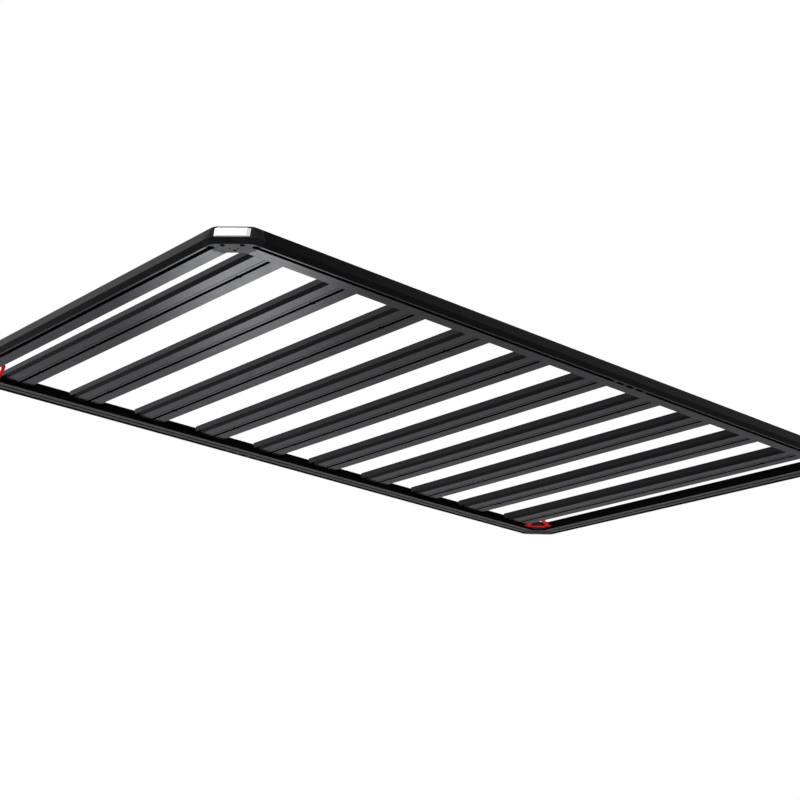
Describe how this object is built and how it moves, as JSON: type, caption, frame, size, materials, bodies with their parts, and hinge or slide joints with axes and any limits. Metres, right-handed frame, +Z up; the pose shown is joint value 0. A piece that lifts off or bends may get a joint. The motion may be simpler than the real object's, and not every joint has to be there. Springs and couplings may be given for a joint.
{
  "type": "flat platform roof rack",
  "caption": "Flat roof platform: hollow cross slats seated on the ledge of a T-slotted rail frame with cut cast corners and red tie-down loops.",
  "frame": {"origin": "centre of the rectangle that the rack covers, on the level of the rails' lowest faces", "axes": "+X along the long rails towards the right end, +Y along the slats towards the back, +Z up"},
  "size_m": [2.163, 1.255, 0.042],
  "materials": {
    "black_coat": "semi-gloss black powder coat on extruded aluminium",
    "cast_coat": "satin black powder coat on cast aluminium",
    "red_coat": "semi-gloss red powder coat",
    "white_plate": "smooth white, blank",
    "fastener": "black-coated steel",
    "nut_coat": "satin black-coated steel"
  },
  "bodies": {
    "root": {"slat_01": "black_coat", "slat_02": "black_coat", "slat_03": "black_coat", "slat_04": "black_coat", "slat_05": "black_coat", "slat_06": "black_coat", "slat_07": "black_coat", "slat_08": "black_coat", "slat_09": "black_coat", "slat_10": "black_coat", "side_rail_front": "black_coat", "side_rail_back": "black_coat", "end_rail_left": "black_coat", "end_rail_right": "black_coat", "corner_front_left": "cast_coat", "corner_front_right": "cast_coat", "corner_back_left": "cast_coat", "corner_back_right": "cast_coat", "badge_plate": "white_plate", "loop_front_left": "red_coat", "loop_front_right": "red_coat", "loop_back_left": "red_coat", "loop_back_right": "red_coat", "corner_screws_front_left": "fastener", "corner_screws_front_right": "fastener", "corner_screws_back_left": "fastener", "corner_screws_back_right": "fastener", "slat_bolts_front": "fastener", "slat_bolts_back": "fastener", "slot_nuts_front": "nut_coat", "slot_nuts_back": "nut_coat"}
  },
  "joints": []
}
